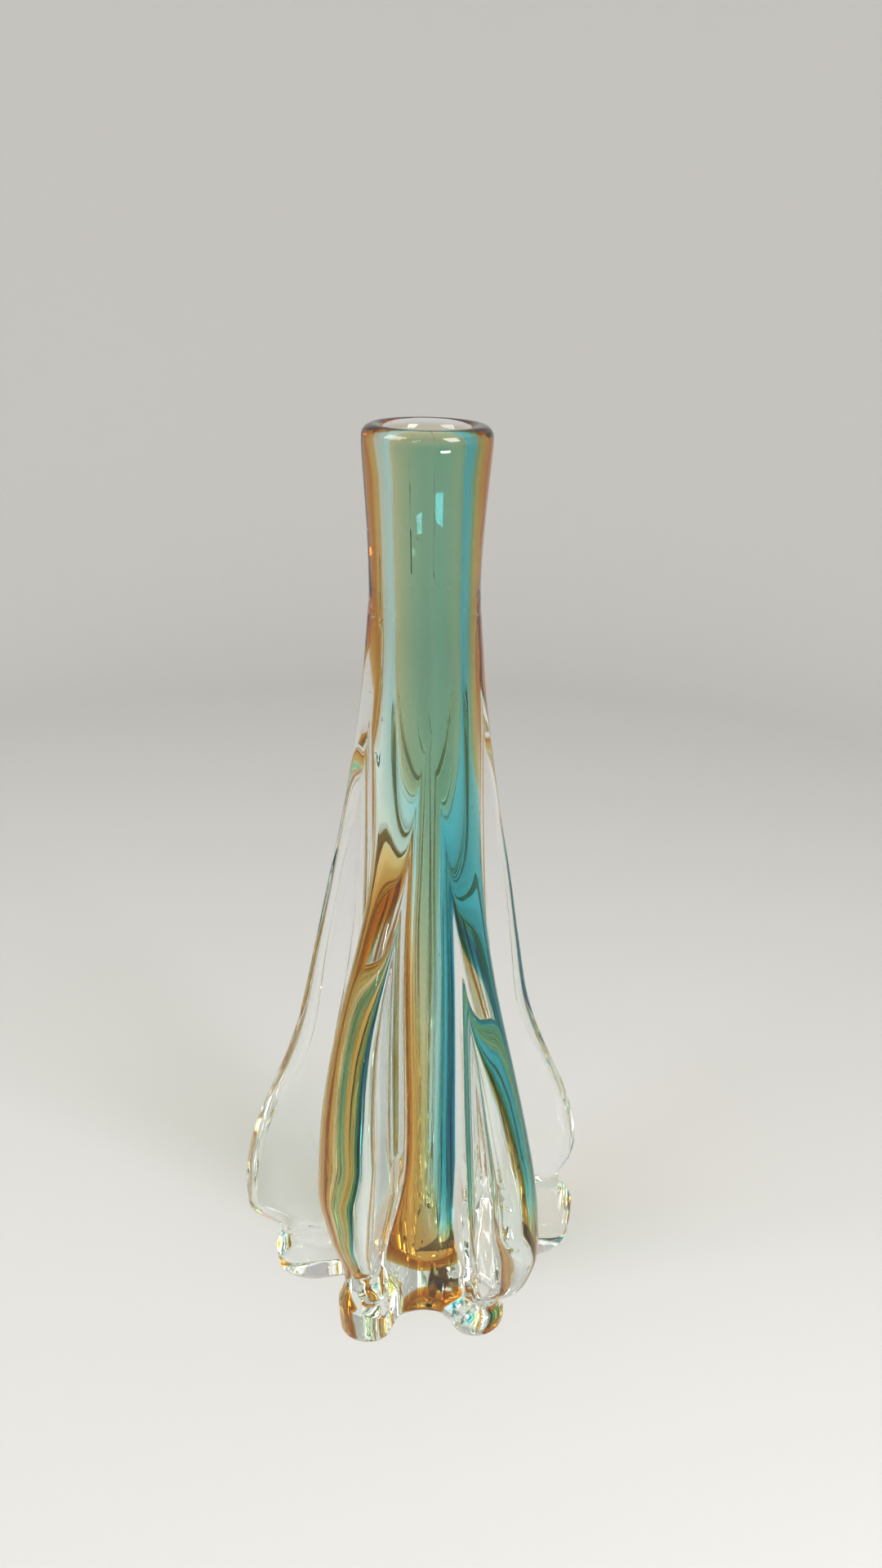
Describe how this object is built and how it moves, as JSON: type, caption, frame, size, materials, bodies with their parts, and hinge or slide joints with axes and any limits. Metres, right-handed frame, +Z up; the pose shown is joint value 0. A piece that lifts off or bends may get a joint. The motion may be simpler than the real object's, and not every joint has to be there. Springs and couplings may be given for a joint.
{
  "type": "glass vase",
  "caption": "Tall cased-glass vase with a narrow round neck, pulled fins that flare to a wide base, and a turquoise and amber core inside clear glass.",
  "frame": {"origin": "centre of the ground base, on the table", "axes": "+Z up along the neck, -Y towards the front of the vase, +X to the right seen from the front"},
  "size_m": [0.1353, 0.1241, 0.342],
  "materials": {
    "clear_glass": "fire-polished, ground flat under the base",
    "turquoise_glass": "fused inside the clear glass",
    "amber_glass": "fire-polished in the bore, fused outside"
  },
  "bodies": {
    "root": {"clear_casing": "clear_glass", "turquoise_sheet": "turquoise_glass", "amber_cup": "amber_glass"}
  },
  "joints": []
}
